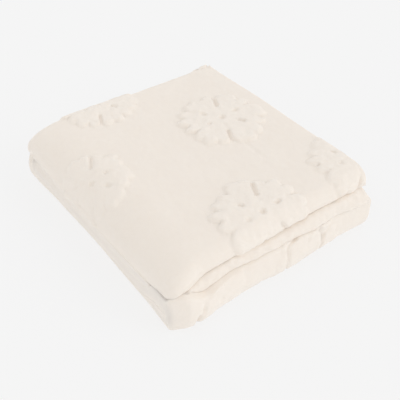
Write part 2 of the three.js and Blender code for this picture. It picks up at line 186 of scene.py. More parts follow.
# The stretches of a ply's section, in the order in which the cloth runs through them. A run lies at one
# level and a fold goes from one level to the next at one side. facing is the side that the cloth's outer
# face looks to. The covers say how far a stretch turns down with the lip of the top ply and of the
# second one, at its start and its end.
Stretch = namedtuple("Stretch", "name side start end facing leftward trim top_cover second_cover")
BARE = (0, 0)
SECTION = (
    Stretch("upper", 0, OUTER, OUTER, 1, True, EDGE_TRIM.outer, (1, 1), BARE),
    Stretch("left_fold", -1, OUTER, -OUTER, 1, False, None, (1, 0), (0, 1)),
    Stretch("lower", 0, -OUTER, -OUTER, -1, False, None, BARE, (1, 1)),
    Stretch("right_fold", 1, -OUTER, -INNER, 1, False, None, BARE, (1, 1)),
    Stretch("lower_inner", 0, -INNER, -INNER, 1, True, None, BARE, (1, 0)),
    Stretch("inner_fold", -1, -INNER, INNER, -1, False, None, BARE, BARE),
    Stretch("upper_inner", 0, INNER, INNER, -1, False, EDGE_TRIM.inner, BARE, BARE),
)

# Places in SECTION of the stretches that show.
UPPER, LEFT_FOLD, LOWER = range(3)

# The stretches along the cloth, from the second ply's free end to the top one's.
PATH = (
    "second_lip", "second", "inner_fold", "third", "front_fold", "bottom", "back_fold", "top", "top_lip",
)

# The sheet's mesh before it is folded: coarse cells, and how often those that bend or show are cut.
COARSE_CELL = 32.5
BEND_CUTS = 3
SHOW_CUTS = 3

# The outer side of the flat sheet: the middles of its faces are higher than this, and its corners are higher
# than this share of half the cloth.
OUTSIDE = SimpleNamespace(face=0.1, corner=0.5)

# Narrow cells along the hems, the round of a hem and its thickness at the edge as a share of the cloth's.
# The relief fades out towards a hem.
HEM_STOPS = (1.0, 3.5)
HEM_ROUND = 3.5
HEM_EDGE = 0.4
HEM_FADE = 4

# Raised snowflakes. x and y are the place of a flake's middle on the top, past its edges too. On the front
# fold y is its distance up the round, and on the left side of a lower ply x is its distance round the fold.
Flake = namedtuple("Flake", "on x y turn size rise")
FLAKES = (
    Flake("top", 78, 31, 36, 1.02, 1.0),
    Flake("top", -9, -157, 34, 1.0, 1.0),
    Flake("top", -142, 22, 30, 0.86, 0.85),
    Flake("top", -48, 172, 38, 0.95, 0.9),
    Flake("top", 158, -146, 33, 0.97, 0.75),
    Flake("top", 190, 215, 20, 1.0, 1.0),
    Flake("top", -140, 345, 12, 1.0, 1.0),
    Flake("top", 82, 350, 38, 1.0, 1.0),
    Flake("front", 42, -10, 3, 0.9, 0.4),
    Flake("front", -122, 3, 25, 1.0, 0.4),
    Flake("second", 6, -30, 20, 0.9, 0.7),
    Flake("third", -8, 110, 50, 0.9, 0.7),
    Flake("bottom", 4, -95, 10, 0.9, 0.7),
)

# The arms of a flake are broad wedges that nearly touch, with a scalloped rim: three lobes to an arm with
# sharp notches between them. All are shares of the flake's radius.
FLAKE_SEED = 5
ARM_COUNT = 6
ARM_TURN = 2 * math.pi / ARM_COUNT
LOBES_PER_ARM = 3
LOBE_COUNT = LOBES_PER_ARM * ARM_COUNT
RIM = SimpleNamespace(
    widest=1.15, notch=0.80, between=0.74, shoulder=0.07, sharp=0.7, edge=0.15, soft=0.6, faintest=0.15)

# A flake's own unevenness: waves round it that bend its lobes and its rim, each with a start of its own.
BEND = SimpleNamespace(waves=(2, 3, 5, 7), starts=6.3, of_lobes=0.025, of_rim=0.025)

# The pit in the middle, a shallow groove that parts each arm from the next, and a short deep slot in each
# groove, from one distance to another. Half widths are in millimetres.
PIT = SimpleNamespace(radius=0.055, full=1.6, depth=0.8)
GROOVE = SimpleNamespace(depth=0.16, half=2.2, start=0.2, ease=0.1)
SLOT_EASE = SimpleNamespace(start=0.06, end=0.08)
Slot = namedtuple("Slot", "start end depth half")
SLOTS = (
    Slot(0.40, 0.86, 1.00, 2.7),
    Slot(0.32, 0.52, 0.75, 2.5),
    Slot(0.27, 0.45, 0.60, 2.3),
    Slot(0.46, 0.90, 1.00, 2.6),
    Slot(0.32, 0.56, 0.85, 2.6),
    Slot(0.30, 0.50, 0.80, 2.5),
)

# Soft troughs, from one place to another on the top, and up the round on the front fold. TROUGH_ENDS is how
# full a trough still is at its two ends.
TROUGH_ENDS = 0.3
Trough = namedtuple("Trough", "on x y to_x to_y depth half")
TROUGHS = (
    Trough("top", 68, -15, 66, -80, 0.9, 2.5),
    Trough("front", -135, -66, -129, -2, 8.5, 2.4),
    Trough("front", -128, -14, -120, 14, 3.0, 2.6),
    Trough("front", 10, -26, 6, 24, 3.6, 2.2),
    Trough("front", 6, 20, 26, 28, 2.6, 2.6),
    Trough("front", 66, -26, 70, 8, 5.5, 2.2),
    Trough("front", 70, 4, 60, 24, 3.6, 2.2),
    Trough("front", -30, -30, -26, -8, 1.2, 4.0),
)

# The pile's own unevenness: small waves of many lengths from a fixed seed, with a height on the plain cloth,
# on the flakes and on the second ply's free end.
RIPPLE = SimpleNamespace(
    count=28, shortest=9, longest=45, height=0.12, on_flakes=0.35, on_end=0.55, seed=11)

# The lower plies are pressed close at the left side. Each is this much thicker at the edges of its fold,
# between these shares of the way round it from its widest line.
SNUG = SimpleNamespace(height=0.34, start=0.5, over=0.3, end=1.6)

# Room for relief: the shares of the front and back folds over which the cloth comes free, and of the front
# fold over which the floor takes it again. On the lower plies' left side part of it is free round the
# widest line, and on the top one's it comes free from a distance under that line.
ROOM = SimpleNamespace(opens=0.1, opens_over=0.12, closes=0.84, closes_over=0.14)
SIDE_ROOM = SimpleNamespace(share=0.5, reach=0.8, over=0.5, top_from=10, top_over=12)


def smooth(value):
    t = np.clip(value, 0.0, 1.0)
    return t * t * (3 - 2 * t)


def mix(a, b, share):
    return a + (b - a) * share


class Fold:
    """Where each point of the flat cloth lies in the folded pack."""

    def __init__(self, sizes):
        self.width = sizes.pack_width / MM
        self.depth = sizes.pack_depth / MM
        self.cloth = sizes.cloth / MM
        self.pitch = sizes.layer_pitch / MM
        self.low_half = self.half_ply(0)
        self.ply_rise = 2 * self.low_half + PLY_GAP
        self.bottom_z = self.low_half
        self.third_z = self.bottom_z + self.ply_rise
        self.second_z = self.third_z + self.ply_rise
        self.top_underside = self.second_z + self.low_half + PLY_GAP
        back_half = self.half_ply(MOUTH.back)
        self.front_radius = self.ply_rise / 2
        self.back_radius = (self.top_underside + back_half - self.bottom_z) / 2
        self.front_y = -self.depth / 2 + (self.front_radius + self.low_half) * FRONT_BLUNT
        outer_back = self.back_radius + (self.low_half + back_half) / 2
        self.back_y = self.depth / 2 - outer_back * BACK_BLUNT
        self.lip_reach = LIP.radius + self.cloth / 2
        self.lip_round = math.pi / 2 * self.lip_reach
        self.top_lip_y = -self.depth / 2 + FRONT_SETBACK.top + self.lip_reach
        self.second_lip_y = -self.depth / 2 + FRONT_SETBACK.second_left + self.lip_reach
        plain = self.back_y - self.front_y
        self.lengths = {
            "second_lip": self.lip_round + LIP.second_drop,
            "second": self.back_y - self.second_lip_y,
            "inner_fold": math.pi * self.front_radius,
            "third": plain,
            "front_fold": math.pi * (self.front_radius + self.low_half),
            "bottom": plain,
            "back_fold": math.pi * outer_back,
            "top": self.back_y - self.top_lip_y,
            "top_lip": self.lip_round + LIP.top_drop,
        }
        self.along_starts = np.concatenate(([0], np.cumsum([self.lengths[name] for name in PATH])))
        fold_end = self.pitch / 2 + self.cloth / 2
        run = self.width - self.low_half * LEFT_BLUNT.below
        short = run - EDGE_TRIM.fold - fold_end * RIGHT_BLUNT
        widths = (run, math.pi * self.low_half, short, math.pi * fold_end, short, math.pi * self.pitch / 2,
                  run - EDGE_TRIM.inner)
        self.across_starts = np.concatenate(([0], np.cumsum(widths)))

    def half_ply(self, mouth):
        return OUTER * self.pitch + mouth / 2 + self.cloth / 2

    def start_of(self, name):
        return self.along_starts[PATH.index(name)]

    def along_place(self, along):
        return self._place(along, self.along_starts)

    def across_place(self, across):
        return self._place(across, self.across_starts)

    @staticmethod
    def _place(distance, starts):
        """The stretch that each distance falls in, and the share of it that is passed."""
        index = np.clip(np.searchsorted(starts, distance, side="right") - 1, 0, len(starts) - 2)
        return index, (distance - starts[index]) / (starts[index + 1] - starts[index])

    def ply(self, index, share):
        """The opening between the halves of the ply, its right edge, and how round its left side is."""
        on_top = index >= PATH.index("top")
        forward = np.where(index == PATH.index("top"), share, 1.0)
        opened = smooth((forward - MOUTH.opens_from) / (1 - MOUTH.opens_from))
        loosened = np.where(index == PATH.index("back_fold"), smooth(share), 0.0)
        on_second = [index == PATH.index("second_lip"), index == PATH.index("second")]
        second = np.select(on_second, [1.0, 1 - share], 0.0)
        right = self.width / 2
        mouth = np.where(on_top, mix(MOUTH.back, MOUTH.front, opened), MOUTH.back * loosened)
        blunt = np.where(on_top, LEFT_BLUNT.top, mix(LEFT_BLUNT.below, LEFT_BLUNT.top, loosened))
        return SimpleNamespace(
            mouth=mouth,
            right=right - np.where(on_top, mix(RIGHT_INSET.back, RIGHT_INSET.front, forward),
                                   RIGHT_INSET.back * loosened + RIGHT_INSET.second * second),
            left_blunt=blunt,
            left_centre=-right + self.half_ply(mouth) * blunt,
            left_full=np.where(on_top, LEFT_FULL.round, mix(LEFT_FULL.pressed, LEFT_FULL.round, loosened)),
        )

    def outer_across(self, index, share, ply):
        """Distance across the outer face from the widest line of the left fold."""
        half_round = math.pi / 2 * self.half_ply(ply.mouth)
        on_run = mix(half_round + ply.right - ply.left_centre, half_round, share)
        return np.where(index == UPPER, on_run, half_round * (1 - 2 * share))

    def section(self, index, share, ply, lift):
        """x across the pack, n from the middle of the ply, and the share in the two lips."""
        x, n = np.zeros_like(share), np.zeros_like(share)
        top_cover, second_cover = np.zeros_like(share), np.zeros_like(share)
        end_reach = (self.pitch / 2 + self.cloth / 2) * RIGHT_BLUNT
        fold_centre = ply.right - EDGE_TRIM.fold - end_reach
        for i, row in enumerate(SECTION):
            here = index == i
            passed, mouth, up = share[here], ply.mouth[here], lift[here] * row.facing
            low = row.start * self.pitch + math.copysign(0.5, row.start) * mouth
            high = row.end * self.pitch + math.copysign(0.5, row.end) * mouth
            centre = (ply.left_centre if row.side < 0 else fold_centre)[here]
            if row.side == 0:
                right = fold_centre[here] if row.trim is None else ply.right[here] - row.trim
                x[here] = mix(ply.left_centre[here], right, 1 - passed if row.leftward else passed)
                n[here] = low + up
            else:
                reach = np.abs(high - low) / 2 + up
                turn = (passed - 0.5) * math.pi * np.sign(high - low)
                blunt, full = RIGHT_BLUNT, 1.0
                if row.side < 0:
                    blunt = ply.left_blunt[here]
                    full = np.where(turn > 0, ply.left_full[here], LEFT_FULL.pressed)
                x[here] = centre + row.side * reach * np.maximum(np.cos(turn), 0) ** full * blunt
                n[here] = (low + high) / 2 + reach * np.sin(turn)
            top_cover[here] = mix(*row.top_cover, smooth((passed - COVER_LATE) / (1 - COVER_LATE)))
            second_cover[here] = mix(*row.second_cover, smooth(passed))
        return x, n, top_cover, second_cover

    def lip(self, share, height, cover, mouth, straight, full):
        """Out from the start of a lip and up from the middle of its ply."""
        lowest = smooth((-height / self.pitch - INNER) / (OUTER - INNER))
        travelled = share * (self.lip_round + straight)
        turn = np.minimum(travelled, self.lip_round) / self.lip_reach
        drop = np.maximum(travelled - self.lip_round, 0)
        centre = self.half_ply(mouth) - self.lip_reach
        round_out = (height - centre) * np.sin(turn) ** full
        out = mix(mix(LIP.others, LIP.under, lowest) * share, round_out, cover)
        return out, mix(height, centre + (height - centre) * np.cos(turn) - drop, cover)

    def pack(self, index, share, x, n, ply, top_cover, second_cover):
        """y and z of the even pack."""
        turn = share * math.pi
        top_z = self.top_underside + self.half_ply(ply.mouth)
        slant = FRONT_SETBACK.second_left - FRONT_SETBACK.second_right
        rightward = smooth(0.5 + x / self.width)
        second_y = self.second_lip_y - slant * rightward
        uneven = sum(wave.height * np.sin(2 * math.pi * x / wave.length + wave.start) for wave in END_WAVES)
        second_drop = LIP.second_drop + LIP.second_more * rightward + uneven
        top_drop = LIP.top_drop + along_table(END_DROP, "drop", x)
        second_out, second_up = self.lip(1 - share, -n, second_cover, ply.mouth, second_drop, SECOND_FULL)
        top_out, top_up = self.lip(share, n, top_cover, ply.mouth, top_drop, 1.0)
        inner, front, back = self.front_radius - n, self.front_radius + n, self.back_radius + n
        out_at_front = np.clip(np.sin(turn), 0, 1) ** np.where(share < 0.5, FRONT_FULL, 1.0)
        places = {
            "second_lip": (second_y - second_out, self.second_z + second_up),
            "second": (mix(second_y, self.back_y, share), self.second_z - n),
            "inner_fold": (self.back_y + inner * np.sin(turn) * BACK_BLUNT,
                           self.third_z + self.front_radius + inner * np.cos(turn)),
            "third": (mix(self.back_y, self.front_y, share), self.third_z + n),
            "front_fold": (self.front_y - front * out_at_front * FRONT_BLUNT,
                           self.bottom_z + self.front_radius + front * np.cos(turn)),
            "bottom": (mix(self.front_y, self.back_y, share), self.bottom_z - n),
            "back_fold": (self.back_y + back * np.sin(turn) * BACK_BLUNT,
                          self.bottom_z + self.back_radius - back * np.cos(turn)),
            "top": (mix(self.back_y, self.top_lip_y, share), top_z + n),
            "top_lip": (self.top_lip_y - top_out, top_z + top_up),
        }
        y = np.select([index == i for i in range(len(PATH))], [places[name][0] for name in PATH])
        z = np.select([index == i for i in range(len(PATH))], [places[name][1] for name in PATH])
        return y, z

    def press(self, from_left, from_front, y):
        """Share of its height that the cloth keeps at each place."""
        near_left = DROOP_ROUND * np.clip(1 - from_left / DROOP_REACH, 0, 1)
        round_off = 1 - np.sqrt(1 - near_left ** 2)
        round_off = round_off / (1 - math.sqrt(1 - DROOP_ROUND ** 2))
        left = 1 - along_table(LEFT_DROOP, "drop", y) * round_off
        return left * (1 - SLUMP.share * smooth(1 - from_front / SLUMP.reach))

    def squeeze(self, nose, from_front, x, z):
        """Rise of the cloth near the front, where the plies press each other together."""
        fold_top, second_top = self.third_z + self.low_half, self.top_underside
        pack_top = second_top + 2 * self.low_half
        at_corner = nose * np.interp(z, (0, fold_top, second_top), (0, NOSE.lift, -NOSE.drop))
        fold = np.interp(z, (0, fold_top, second_top), (0, 1, 0))
        second = np.interp(z, (fold_top, second_top, pack_top), (0, 1, 0))
        rise = along_table(FRONT_LIFT, "fold", x) * fold + along_table(FRONT_LIFT, "second", x) * second
        return at_corner + rise * smooth(1 - from_front / FRONT_LIFT_REACH)

    def settle(self, x, y, z):
        """Where the real, uneven cloth lies."""
        from_left, from_front = x + self.width / 2, y + self.depth / 2
        nose = smooth(NOSE.firm * (1 - from_left / NOSE.reach))
        nose = nose * smooth(NOSE.firm_back * (1 - from_front / NOSE.reach_back))
        swell = sum(s.rise * np.exp(-((x - s.x) ** 2 + (y - s.y) ** 2) / s.reach ** 2) for s in SWELLS)
        press = self.press(from_left, from_front, y)
        squeeze = self.squeeze(nose, from_front, x, z)
        waist = np.exp(-((z - WAIST.height) / WAIST.half) ** 2) * smooth(1 - from_left / WAIST.reach)
        waist = waist * along_table(LEFT_DROOP, "waist", y)
        foot = FOOT.depth * smooth(1 - z / FOOT.height) * smooth(1 - from_left / FOOT.reach)
        x = x + wander(LEFT_WANDER, y, z) * smooth(1 - from_left / WANDER_REACH) + waist + foot
        fill = np.exp(-((z - GAP_HEIGHT) / GAP_HALF) ** 2) * smooth(1 - from_front / GAP_REACH)
        forward = NOSE.out * nose * smooth((z - self.second_z) / self.ply_rise)
        y = y + wander(FRONT_WANDER, x, z) * smooth(1 - from_front / WANDER_REACH) - forward
        y = y - along_table(GAP_FILL, "out", x) * fill
        z = z * press + swell * smooth((z - SWELL_FROM) / SWELL_OVER) + squeeze
        for corner in CORNERS:
            x, y = self.round_corner(corner, x, y)
        return x, y, z

    def lean(self, index, x, y, z):
        """How far the right end of the plies below the top one leans in."""
        upward = smooth((z - LEAN.foot) / LEAN.over)
        near_right = smooth(1 - (self.width / 2 - x) / LEAN.reach)
        near_front = smooth(1 - (y + self.depth / 2) / LEAN.from_front)
        lower = index <= PATH.index("front_fold")
        return np.where(lower, LEAN.depth * upward * near_right * near_front, 0.0)

    def round_corner(self, corner, x, y):
        """Moves the points in a square at one corner of the footprint into a quarter circle."""
        centre_x = corner.side * (self.width / 2 - corner.radius)
        centre_y = corner.end * (self.depth / 2 - corner.radius)
        out_x = np.clip(corner.side * (x - centre_x) / corner.radius, 0, CORNER_PAST)
        out_y = np.clip(corner.end * (y - centre_y) / corner.radius, 0, CORNER_PAST)
        drawn_x = out_x * (1 - np.sqrt(1 - out_y ** 2 / 2))
        drawn_y = out_y * (1 - np.sqrt(1 - out_x ** 2 / 2))
        return x - corner.side * corner.radius * drawn_x, y - corner.end * corner.radius * drawn_y

    def place(self, across, along, lift):
        """Points of the pack, from distances across and along the flat cloth and lifts off its middle."""
        ply = self.ply(*along)
        x, n, top_cover, second_cover = self.section(*across, ply, lift)
        y, z = self.pack(*along, x, n, ply, top_cover, second_cover)
        x = x - self.lean(along[0], x, y, z)
        x, y, z = self.settle(x, y, z)
        return np.stack((x - FOOT_MIDDLE[0], y - FOOT_MIDDLE[1], np.maximum(z, 0)), axis=1)


def along_table(table, key, at):
    """Value of a table's column at each place, smooth between its rows."""
    stops = np.array([row.at for row in table], dtype=float)
    column = np.array([getattr(row, key) for row in table], dtype=float)
    place = np.clip(at, stops[0], stops[-1])
    after = np.clip(np.searchsorted(stops, place), 1, len(stops) - 1)
    share = smooth((place - stops[after - 1]) / (stops[after] - stops[after - 1]))
    return mix(column[after - 1], column[after], share)


def wander(table, at, z):
    """Value of a wander table at each place, for each height in the pack."""
    upper = smooth((z - WANDER_FROM) / WANDER_OVER)
    return mix(along_table(table, "below", at), along_table(table, "top", at), upper)


class Relief:
    """Height of the pile over the even outer face: flakes, troughs and small waves."""

    def __init__(self, sizes, fold):
        self.fold = fold
        self.radius = sizes.flake_radius / MM
        self.rise = sizes.flake_rise / MM
        rng = np.random.default_rng(RIPPLE.seed)
        lengths = np.geomspace(RIPPLE.shortest, RIPPLE.longest, RIPPLE.count)
        turns = rng.uniform(0, 2 * math.pi, RIPPLE.count)
        starts = rng.uniform(0, 2 * math.pi, RIPPLE.count)
        self.waves = list(zip(lengths, np.cos(turns), np.sin(turns), starts))
        self.side_half = fold.low_half * math.pi / 2

    def middle(self, on, x, y):
        """Distances across and along the outer face of a place on one of its sides."""
        fold = self.fold
        if on == "top":
            along = fold.start_of("top") + fold.back_y - y
        elif on == "front":
            along = fold.start_of("front_fold") + fold.lengths["front_fold"] / 2 - y
        elif on == "third":
            along = fold.start_of(on) + fold.back_y - y
        else:
            along = fold.start_of(on) + y - (fold.front_y if on == "bottom" else fold.second_lip_y)
        if on not in ("top", "front"):
            return x, along
        ply = fold.ply(*(np.atleast_1d(value) for value in fold.along_place(np.array([along]))))
        half_round = math.pi / 2 * fold.half_ply(ply.mouth[0])
        return half_round + x - ply.left_centre[0], along

    @staticmethod
    def rim(number, angle, off_arm):
        """Distance of a flake's rim from its middle in each direction, as a share of its radius."""
        rng = np.random.default_rng(FLAKE_SEED + number)
        bend = sum(rng.uniform(-1, 1) * np.sin(k * angle + rng.uniform(0, BEND.starts)) for k in BEND.waves)
        lobe = LOBE_COUNT * (angle + BEND.of_lobes * bend) / (2 * math.pi)
        scallop = np.abs(np.cos(math.pi * lobe))
        deep = rng.uniform(RIM.faintest, 1, LOBE_COUNT)[np.floor(lobe).astype(int) % LOBE_COUNT]
        parted = smooth(1 - np.abs(off_arm - ARM_TURN / 2) / (ARM_TURN / (2 * LOBES_PER_ARM)))
        rim = 1 - deep * (1 - mix(RIM.notch, RIM.between, parted)) * (1 - scallop ** RIM.sharp)
        return rim - RIM.shoulder * smooth(off_arm / (ARM_TURN / 2)) + BEND.of_rim * bend

    @staticmethod
    def cut(angle, share, to_line):
        """Share of a flake's rise that its grooves and slots take away."""
        slot = np.array(SLOTS)[np.floor(angle / ARM_TURN).astype(int) % ARM_COUNT]
        start, end, depth, half = slot.T
        within = smooth((share - start) / SLOT_EASE.start) * smooth((end - share) / SLOT_EASE.end)
        groove = GROOVE.depth * np.exp(-(to_line / GROOVE.half) ** 2)
        groove = groove * smooth((share - GROOVE.start) / GROOVE.ease)
        return np.maximum(groove, depth * within * np.exp(-(to_line / half) ** 4))

    def flake(self, flake, number, across, along):
        """Share of the full rise that a flake has at each place."""
        middle_across, middle_along = self.middle(flake.on, flake.x, flake.y)
        dx, dy = across - middle_across, middle_along - along
        radius = self.radius * flake.size
        near = np.flatnonzero(dx * dx + dy * dy < (RIM.widest * radius) ** 2)
        dx, dy = dx[near], dy[near]
        far, angle = np.hypot(dx, dy), np.arctan2(dy, dx) - math.radians(flake.turn)
        share = far / radius
        off_arm = np.abs(angle - np.round(angle / ARM_TURN) * ARM_TURN)
        inward = np.clip((self.rim(number, angle, off_arm) - share) / RIM.edge, 0, 1)
        raised = mix(np.sqrt(1 - (1 - inward) ** 2), np.sin(inward * math.pi / 2), RIM.soft)
        raised = raised * (1 - self.cut(angle, share, far * np.sin(ARM_TURN / 2 - off_arm)))
        raised = raised * (1 - PIT.depth * smooth(PIT.full - share / PIT.radius))
        everywhere = np.zeros_like(across)
        everywhere[near] = raised
        return everywhere

    def trough(self, row, across, along):
        """Depth of a trough at each place."""
        a, b = (np.array(self.middle(row.on, x, y)) for x, y in ((row.x, row.y), (row.to_x, row.to_y)))
        step = b - a
        passed = np.clip(((across - a[0]) * step[0] + (along - a[1]) * step[1]) / (step @ step), 0, 1)
        off = np.hypot(across - a[0] - passed * step[0], along - a[1] - passed * step[1])
        return row.depth * smooth(1 - off / (2 * row.half)) * smooth(4 * passed * (1 - passed) + TROUGH_ENDS)

    def room(self, path_index, path_share, across):
        """1 where the outer face is free, down to 0 where another ply or the floor is against it."""
        opening = smooth((path_share - ROOM.opens) / ROOM.opens_over)
        free = dict.fromkeys(PATH, 0.0)
        free["top"] = free["top_lip"] = 1.0
        free["front_fold"] = opening * smooth((ROOM.closes - path_share) / ROOM.closes_over)
        free["back_fold"] = opening
        on_run = np.select([path_index == i for i in range(len(PATH))],
                           [np.broadcast_to(free[name], across.shape) for name in PATH])
        round_share = across / self.side_half
        beside = smooth((SIDE_ROOM.reach - np.abs(round_share)) / SIDE_ROOM.over) * SIDE_ROOM.share
        low_side = np.maximum(on_run * smooth(round_share), beside)
        top_side = on_run * smooth((across + SIDE_ROOM.top_from) / SIDE_ROOM.top_over)
        upper = path_index >= PATH.index("back_fold")
        return np.where(across > self.side_half, on_run, np.where(upper, top_side, low_side))

    def ripple(self, across, along):
        """The small waves at each place, one millimetre high on the whole."""
        waves = sum(np.sin(2 * math.pi * (across * c + along * s) / length + phase) * length ** 0.5
                    for length, c, s, phase in self.waves)
        return waves / math.sqrt(sum(length for length, *_ in self.waves) / 2)

    def heights(self, path_index, path_share, across, along):
        """Raised share and height over the outer face, at each place of it."""
        raised = np.zeros_like(across)
        for number, flake in enumerate(FLAKES):
            raised = np.maximum(raised, flake.rise * self.flake(flake, number, across, along))
        room = self.room(path_index, path_share, across)
        dips = sum(self.trough(row, across, along) for row in TROUGHS)
        raised = raised * room
        round_share = np.abs(across) / self.side_half
        edge = smooth((round_share - SNUG.start) / SNUG.over) * smooth(SNUG.end - round_share)
        snug = np.where(path_index < PATH.index("back_fold"), SNUG.height * edge, 0.0)
        waves = self.ripple(across, along) * mix(RIPPLE.height, RIPPLE.on_flakes, raised) * room
        return raised, raised * self.rise + waves + snug - dips

    def end_heights(self, across, along):
        """Height over the free end of the second ply."""
        return RIPPLE.on_end * self.ripple(across, along)


def vectors(items, key):
    """A vector of each of a mesh's vertices or faces, as the rows of an array."""
    out = np.empty(len(items) * 3, dtype=np.float32)
    items.foreach_get(key, out)
    return out.reshape(-1, 3)


def even_stops(starts, hems=()):
    """Distances of the coarse cells' edges, with narrow cells at the hems."""
    stops = [starts[0]]
    for begin, end in zip(starts, starts[1:]):
        cells = max(1, round((end - begin) / COARSE_CELL))
        stops.extend(np.linspace(begin, end, cells + 1)[1:])
    for hem, inward in hems:
        stops.extend(hem + inward * stop for stop in HEM_STOPS)
    return np.array(sorted(stops))


def flat_cloth(fold, name):
    """The throw cut flat: a thin closed sheet in coarse cells, across along X and lengthways along Y."""
    across = even_stops(fold.across_starts, ((0, 1), (fold.across_starts[-1], -1)))
    along = even_stops(fold.along_starts)
    bpy.ops.object.select_all(action="DESELECT")
    bpy.ops.mesh.primitive_grid_add(x_subdivisions=len(across) - 1, y_subdivisions=len(along) - 1, size=2)
    cloth = bpy.context.object
    cloth.name = cloth.data.name = name
    mesh = cloth.data
    if len(mesh.vertices) != len(across) * len(along):
        raise RuntimeError("the flat grid has another number of corners than its stops")
    points = vectors(mesh.vertices, "co")
    column = np.rint((points[:, 0] + 1) / 2 * (len(across) - 1)).astype(int)
    row = np.rint((points[:, 1] + 1) / 2 * (len(along) - 1)).astype(int)
    points[:, 0], points[:, 1] = across[column] * MM, along[row] * MM
    mesh.vertices.foreach_set("co", points.ravel())
    solidify = cloth.modifiers.new("thickness", "SOLIDIFY")
    solidify.thickness = fold.cloth * MM
    solidify.offset = 0
    bpy.ops.object.modifier_apply(modifier=solidify.name)
    return cloth


def divide(cloth, fold, wanted, cuts):
    """Cuts the faces that are wanted, by their stretches and their height in the flat sheet."""
    mesh = cloth.data
    centre = vectors(mesh.polygons, "center") / MM
    across, _ = fold.across_place(centre[:, 0])
    along, _ = fold.along_place(centre[:, 1])
    chosen = wanted(across, along, centre[:, 2])
    bpy.context.tool_settings.mesh_select_mode = (False, False, True)
    mesh.vertices.foreach_set("select", np.zeros(len(mesh.vertices), dtype=bool))
    mesh.edges.foreach_set("select", np.zeros(len(mesh.edges), dtype=bool))
    mesh.polygons.foreach_set("select", chosen)
    bpy.ops.object.mode_set(mode="EDIT")
    bpy.ops.mesh.subdivide(number_cuts=cuts)
    bpy.ops.object.mode_set(mode="OBJECT")


def bends(across, along, height):
    """Faces in a fold or a lip."""
    sides = [i for i, row in enumerate(SECTION) if row.side]
    rounds = [i for i, name in enumerate(PATH) if "fold" in name or "lip" in name]
    return np.isin(across, sides) | np.isin(along, rounds)


def shows(across, along, height):
    """Faces of the outer side that are seen."""
    seen = [PATH.index(name) for name in ("front_fold", "back_fold", "top", "top_lip")]
    upper = (across == UPPER) & np.isin(along, seen)
    second_end = (across == LOWER) & (along == PATH.index("second_lip"))
    return (height > OUTSIDE.face) & (upper | (across == LEFT_FOLD) | second_end)


def fold_up(cloth, fold, relief):
    """Raises the flakes on the flat cloth, rounds its hems and lays it in its folds."""
    mesh = cloth.data
    points = vectors(mesh.vertices, "co").astype(float) / MM
    across, along = points[:, 0], points[:, 1]
    side = points[:, 2] / (fold.cloth / 2)
    across_place, along_place = fold.across_place(across), fold.along_place(along)
    from_hem = np.minimum(np.minimum(across, fold.across_starts[-1] - across),
                          np.minimum(along, fold.along_starts[-1] - along))
    inward = np.clip(from_hem / HEM_ROUND, 0, 1)
    full = mix(HEM_EDGE, 1, np.sqrt(1 - (1 - inward) ** 2))
    lift = side * full * fold.cloth / 2
    outer_across = fold.outer_across(*across_place, fold.ply(*along_place))
    raised, height = np.zeros_like(lift), np.zeros_like(lift)
    outside = side > OUTSIDE.corner
    face = outside & np.isin(across_place[0], (UPPER, LEFT_FOLD))
    raised[face], height[face] = relief.heights(
        along_place[0][face], along_place[1][face], outer_across[face], along[face])
    end = outside & (across_place[0] == LOWER) & (along_place[0] == PATH.index("second_lip"))
    height[end] = relief.end_heights(across[end], along[end])
    lift = lift + height * smooth(from_hem / HEM_FADE)
    folded = fold.place(across_place, along_place, lift) * MM
    mesh.vertices.foreach_set("co", folded.astype(np.float32).ravel())
    attribute = mesh.attributes.new("raised", "FLOAT", "POINT")
    attribute.data.foreach_set("value", raised.astype(np.float32))
    mesh.update()
    mesh.validate()


# Materials

# Noises over the plush, from its fine pile to broad clouds, and the floor's faint grain.
Noise = namedtuple("Noise", "scale detail roughness")
PILE, TUFTS, CLOUDS = Noise(420, 3, 0.6), Noise(150, 2, 0.55), Noise(22, 2, 0.5)
GRAIN = Noise(3, 2, 0.5)

# What each of them, and the raised pile of the flakes, adds to the lightness of the plush. The lightness
# picks between the colour of the pile's tips and painted shade down between its tufts: the fine noises paint
# that shade, and the broad clouds give a random mottle.
LIGHTER = SimpleNamespace(base=0.15, pile=0.35, tufts=0.3, clouds=0.35, raised=0.15)

# The bump of the pile: its strength and depth in metres, the share of the finest noise in it, and how much of
# it the plain cloth has beside the flakes.
PILE_BUMP = SimpleNamespace(strength=0.5, depth=0.0012, fine=0.5, plain=0.35)

# The darker tone of the floor's grain as a share of its colour.
FLOOR_TONE = 0.995


class Term:
    """A shader socket that takes part in sums written in Python."""

    def __init__(self, shader, socket):
        self.shader, self.socket = shader, socket

    def _math(self, operation, first, second):
        return self.shader.node("ShaderNodeMath", {"operation": operation}, {0: first, 1: second}).out()

    def __add__(self, other):
        return self._math("ADD", self, other)

    __radd__ = __add__

    def __mul__(self, other):
        return self._math("MULTIPLY", self, other)

    __rmul__ = __mul__


class Node:
    """A shader node with its outputs as terms."""

    def __init__(self, shader, node):
        self.shader, self.node = shader, node

    def out(self, key=0):
        return Term(self.shader, self.node.outputs[key])


